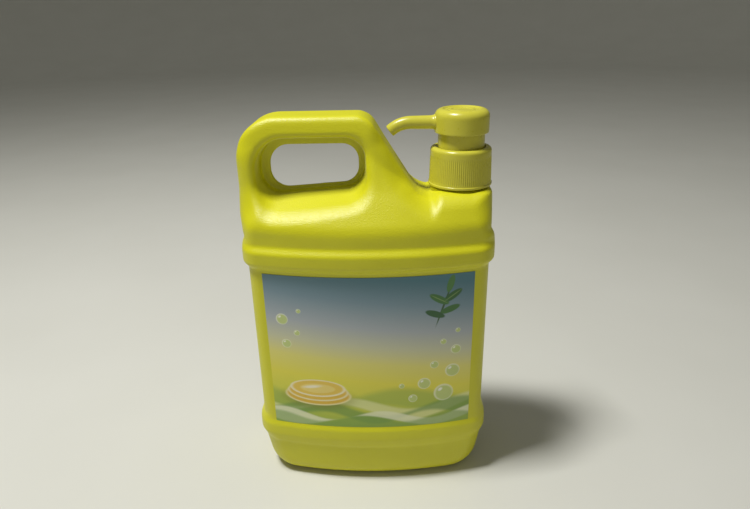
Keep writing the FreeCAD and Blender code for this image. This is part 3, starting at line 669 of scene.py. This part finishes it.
def beyond_line(tree, axes, line, soft, sign):
    """A soft mask of what lies above (sign 1) or below (sign -1) a sine line across the label."""
    height, amplitude, waves, turn = line
    angle = add(tree, "ShaderNodeMath", {
        0: axes.outputs["X"], 1: waves * 2 * math.pi / 100, 2: turn,
    }, operation="MULTIPLY_ADD")
    wave = add(tree, "ShaderNodeMath", {0: angle.outputs[0]}, operation="SINE")
    level = add(tree, "ShaderNodeMath", {
        0: wave.outputs[0], 1: amplitude, 2: height,
    }, operation="MULTIPLY_ADD")
    gap = add(tree, "ShaderNodeMath", {0: axes.outputs["Z"], 1: level.outputs[0]}, operation="SUBTRACT")
    mask = add(tree, "ShaderNodeMapRange", {
        "Value": gap.outputs[0], "From Min": -sign * soft / 2, "From Max": sign * soft / 2,
    }, interpolation_type="SMOOTHSTEP")
    return mask.outputs[0]


film, tree = new_material("printed_film")
place = add(tree, "ShaderNodeTexCoord").outputs["Object"]
printed = add(tree, "ShaderNodeMapping", {
    "Vector": place, "Location": (0, 0, -LABEL_MIDDLE * 1000), "Scale": (1000, 0, 1000),
}).outputs[0]
axes = add(tree, "ShaderNodeSeparateXYZ", {"Vector": printed})
slant = add(tree, "ShaderNodeMath", {
    0: axes.outputs["X"], 1: 0.10, 2: axes.outputs["Z"],
}, operation="MULTIPLY_ADD")
rise = add(tree, "ShaderNodeMapRange", {"Value": slant.outputs[0], "From Min": -60.0, "From Max": 60.0})
wash = add(tree, "ShaderNodeValToRGB", {"Fac": rise.outputs[0]})
stops = wash.color_ramp.elements
stops[0].position, stops[0].color = 0.0, linear(WASH[0][1])
stops[1].position, stops[1].color = 1.0, linear(WASH[-1][1])
for position, shade in WASH[1:-1]:
    stop = stops.new(position)
    stop.color = linear(shade)
colour = wash.outputs[0]
for upper, lower, shade, strength, soft in SWELLS:
    under_top = beyond_line(tree, axes, upper, soft, -1)
    over_foot = beyond_line(tree, axes, lower, soft, 1)
    between = add(tree, "ShaderNodeMath", {0: under_top, 1: over_foot}, operation="MULTIPLY")
    mask = add(tree, "ShaderNodeMath", {0: between.outputs[0], 1: strength}, operation="MULTIPLY")
    colour = laid_over(tree, colour, mask.outputs[0], shade)
for motif in PLATES + SPRIG:
    colour = ellipse(tree, printed, colour, *motif)
for x, z, radius in BUBBLES:
    colour = ellipse(tree, printed, colour, x, z, radius, radius, 0, "#F4F6D8", 0.75, 0.08)
    inside = (x + 0.05 * radius, z - 0.05 * radius)
    colour = ellipse(tree, printed, colour, *inside, 0.86 * radius, 0.86 * radius, 0, "#B9CC62", 0.75, 0.14)
    spot = (x - 0.35 * radius, z + 0.4 * radius)
    colour = ellipse(tree, printed, colour, *spot, 0.25 * radius, 0.16 * radius, 40, "#FFFFF0", 0.9, 0.4)
fibre = add(tree, "ShaderNodeTexNoise", {"Vector": place, "Scale": 300.0, "Detail": 2.0})
gloss = add(tree, "ShaderNodeMapRange", {"Value": fibre.outputs["Fac"], "To Min": 0.36, "To Max": 0.5})
print_coat = add(tree, "ShaderNodeBsdfPrincipled", {
    "Base Color": colour, "Roughness": gloss.outputs[0], "IOR": 1.5,
})
add(tree, "ShaderNodeOutputMaterial", {"Surface": print_coat.outputs[0]})
for name in ("front_label", "back_label"):
    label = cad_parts[name]
    label.data.materials.clear()
    label.data.materials.append(film)

# Closure: the ribbed screw cap, injection moulded in polypropylene, with a rim at its foot. Its bore
# clears the neck's thread, and the smooth sleeve of the lock ring comes up through the hole in its top.

CLOSURE_FOOT = 221.3
CLOSURE_HEAD = 246.7
RIB_COUNT = 96
RIB_DEPTH = 0.3


def ribs(angle, radius, height):
    """How deep the grooves between the ribs are, on the outer wall between the rim and the shoulder: the
    size of a sine of half the rib count, less one, faded out at both ends."""
    wave = np.abs(np.sin(angle * RIB_COUNT / 2)) - 1
    window = np.clip((height - CLOSURE_FOOT - 2.4) / 0.8, 0, 1)
    window = window * np.clip((CLOSURE_HEAD - 5 - height) / 1.5, 0, 1)
    return RIB_DEPTH * wave * window * (radius > 20)


# Radius, height and rounding of each corner of the closure's section.
closure_line = rounded_line([
    (20.0, CLOSURE_FOOT, 0), (21.5, CLOSURE_FOOT, 0.6), (21.5, CLOSURE_FOOT + 1.6, 0.5),
    (21.0, CLOSURE_FOOT + 1.9, 0.2), (20.3, CLOSURE_HEAD, 2.4), (16.4, CLOSURE_HEAD, 0.4),
    (16.4, CLOSURE_HEAD - 2, 0.2), (19.2, CLOSURE_HEAD - 2, 0.8), (19.2, CLOSURE_FOOT, 0.3),
    (20.0, CLOSURE_FOOT, 0),
])
closure = piece("closure_ribbed", [turned_shell(fine_line(closure_line, 0.7)[:-1], 768, ribs)], 0.0001)

# Injection-moulded polypropylene: smoother and a little paler than the bottle, with faint flow marks.
moulded_pp, tree = new_material("injection_moulded_polypropylene")
place = add(tree, "ShaderNodeTexCoord").outputs["Object"]
flow = add(tree, "ShaderNodeTexNoise", {"Vector": place, "Scale": 180.0, "Detail": 2.0})
tint = add(tree, "ShaderNodeMix", {
    0: flow.outputs["Fac"], 6: linear("#C9C23A"), 7: linear("#D1CB44"),
}, data_type="RGBA")
gloss = add(tree, "ShaderNodeMapRange", {"Value": flow.outputs["Fac"], "To Min": 0.24, "To Max": 0.34})
bump = add(tree, "ShaderNodeBump", {"Height": flow.outputs["Fac"], "Strength": 0.04, "Distance": 0.0002})
plastic = add(tree, "ShaderNodeBsdfPrincipled", {
    "Base Color": tint.outputs[2], "Roughness": gloss.outputs[0], "Normal": bump.outputs[0], "IOR": 1.49,
})
add(tree, "ShaderNodeOutputMaterial", {"Surface": plastic.outputs[0]})
closure.data.materials.append(moulded_pp)
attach(closure, "closure")
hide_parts("closure_collar")

# Push head: a round button with a dished top, a ring in the dish, an outer skirt, the socket for the stem
# and the spout, all in one moulding of the closure's polypropylene.

HEAD_FOOT = 256.1
HEAD_TOP = 271.3
HEAD_RADIUS = 18.0
SPOUT_HEIGHT = 262.5
SPOUT_ANGLE = math.radians(38)
SPOUT_BEND = 20.0
# The spout's middle line starts inside the button this far from its axis, runs level to the corner and
# falls from there to its end. The bend rounds the corner.
SPOUT_ROOT = 10.0
SPOUT_CORNER_X = NECK_X - 40.5
SPOUT_END = 8.8
SPOUT_ROOT_RADIUS = 4.6
SPOUT_THINNING = 0.5
SPOUT_FILLET = 0.9
SPOUT_BORE = 2.6

# Radius, height and rounding of each corner of the button's section.
head_line = rounded_line([
    (0.0, HEAD_TOP - 0.9, 0), (6.6, HEAD_TOP - 0.9, 0.3), (7.2, HEAD_TOP - 0.45, 0.3),
    (8.2, HEAD_TOP - 0.45, 0.3), (8.8, HEAD_TOP - 0.9, 0.3), (11.6, HEAD_TOP - 0.9, 0.5),
    (12.8, HEAD_TOP, 0.6), (HEAD_RADIUS, HEAD_TOP, 4.8), (HEAD_RADIUS, HEAD_FOOT, 0.5),
    (16.4, HEAD_FOOT, 0.4), (16.4, HEAD_TOP - 2.2, 0.8), (9.2, HEAD_TOP - 2.2, 0.8),
    (9.2, HEAD_FOOT - 7, 0.3), (4.06, HEAD_FOOT - 7, 0.3), (4.06, 258.9, 0), (0.0, 258.9, 0),
])


def spout_shell():
    """A tube along a level run, one bend and a falling end: outside to the tip, over its rounded lip and
    12 mm back up the bore. The outside radius falls evenly from root to tip, and near the button it grows
    by a fillet that fades out with the distance from the button's wall."""
    run = SPOUT_BEND * math.tan(SPOUT_ANGLE / 2)
    root_x = NECK_X - SPOUT_ROOT
    level_run = root_x - (SPOUT_CORNER_X + run)
    arc_run = SPOUT_BEND * SPOUT_ANGLE
    end_run = SPOUT_END - run
    length = level_run + arc_run + end_run
    lip_round = 0.5
    lip_turn = np.linspace(0.3, 1.57, 4)
    outside = np.linspace(0, length - lip_round, 60)
    lip = length - lip_round + lip_round * np.sin(lip_turn)
    bore = np.array([length, length, length - 0.4, length - 3, length - 12, length - 12])
    along = np.concatenate([outside, lip, bore])
    taper = SPOUT_ROOT_RADIUS - SPOUT_THINNING * outside / length
    past_wall = np.clip(outside - (HEAD_RADIUS - SPOUT_ROOT - 0.2), 0, None)
    lip_radius = SPOUT_ROOT_RADIUS - SPOUT_THINNING - lip_round * (1 - np.cos(lip_turn))
    radius = np.concatenate([
        taper + SPOUT_FILLET * np.exp(-past_wall / 0.8), lip_radius,
        [3.3, 2.9, SPOUT_BORE, SPOUT_BORE, SPOUT_BORE, 0.0],
    ])
    bent = np.clip((along - level_run) / SPOUT_BEND, 0, SPOUT_ANGLE)
    beyond = np.clip(along - level_run - arc_run, 0, None)
    x = root_x - np.clip(along, 0, level_run) - SPOUT_BEND * np.sin(bent) - beyond * math.cos(SPOUT_ANGLE)
    z = SPOUT_HEIGHT - SPOUT_BEND * (1 - np.cos(bent)) - beyond * math.sin(SPOUT_ANGLE)
    around = np.arange(48) * 2 * math.pi / 48
    outward = np.stack([-np.sin(bent), np.zeros_like(bent), np.cos(bent)], axis=1)
    across = np.array([0, 1, 0])
    ring = outward[:, None] * np.cos(around)[None, :, None] + across * np.sin(around)[None, :, None]
    points = np.stack([x, np.zeros_like(x), z], axis=1)[:, None] + radius[:, None, None] * ring
    return points.reshape(-1, 3), grid_faces(len(along), 48, False, True)


button = turned_shell(fine_line(head_line, 1.2), 160, None, False)
head = piece("head_with_spout", [button, spout_shell()], 0.0001)
head.data.materials.append(moulded_pp)
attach(head, "actuator")
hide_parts("pump_head")

# Lock ring: the smooth sleeve between closure and head, into which the head screws when it is locked
# down. Its shape is the solid's own, in the closure's polypropylene.

lock_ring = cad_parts["lock_ring"]
lock_ring.data.materials.clear()
lock_ring.data.materials.append(moulded_pp)

# Inner pump pieces, in their solids' own shapes: housing, stem and dip tube in natural polypropylene,
# piston and gasket in soft polyethylene, spring and inlet ball in stainless steel.

natural_pp, tree = new_material("natural_polypropylene")
place = add(tree, "ShaderNodeTexCoord").outputs["Object"]
haze = add(tree, "ShaderNodeTexNoise", {"Vector": place, "Scale": 240.0, "Detail": 2.0})
tint = add(tree, "ShaderNodeMix", {
    0: haze.outputs["Fac"], 6: linear("#DCDCD2"), 7: linear("#E8E8E0"),
}, data_type="RGBA")
plastic = add(tree, "ShaderNodeBsdfPrincipled", {
    "Base Color": tint.outputs[2], "Roughness": 0.35, "IOR": 1.49,
})
add(tree, "ShaderNodeOutputMaterial", {"Surface": plastic.outputs[0]})

soft_pe, tree = new_material("soft_polyethylene_seal")
place = add(tree, "ShaderNodeTexCoord").outputs["Object"]
haze = add(tree, "ShaderNodeTexNoise", {"Vector": place, "Scale": 400.0, "Detail": 2.0})
gloss = add(tree, "ShaderNodeMapRange", {"Value": haze.outputs["Fac"], "To Min": 0.5, "To Max": 0.65})
plastic = add(tree, "ShaderNodeBsdfPrincipled", {
    "Base Color": linear("#E4E3DA"), "Roughness": gloss.outputs[0],
})
add(tree, "ShaderNodeOutputMaterial", {"Surface": plastic.outputs[0]})

drawn_steel, tree = new_material("drawn_stainless_steel")
place = add(tree, "ShaderNodeTexCoord").outputs["Object"]
lines = add(tree, "ShaderNodeTexNoise", {"Vector": place, "Scale": 900.0, "Detail": 2.0})
gloss = add(tree, "ShaderNodeMapRange", {"Value": lines.outputs["Fac"], "To Min": 0.18, "To Max": 0.32})
metal = add(tree, "ShaderNodeBsdfPrincipled", {
    "Base Color": linear("#B9B8B4"), "Metallic": 1.0, "Roughness": gloss.outputs[0],
})
add(tree, "ShaderNodeOutputMaterial", {"Surface": metal.outputs[0]})

for name, material in (
    ("pump_housing", natural_pp), ("stem", natural_pp), ("dip_tube", natural_pp),
    ("piston", soft_pe), ("neck_gasket", soft_pe),
    ("return_spring", drawn_steel), ("check_ball", drawn_steel),
):
    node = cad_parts[name]
    node.data.materials.clear()
    node.data.materials.append(material)
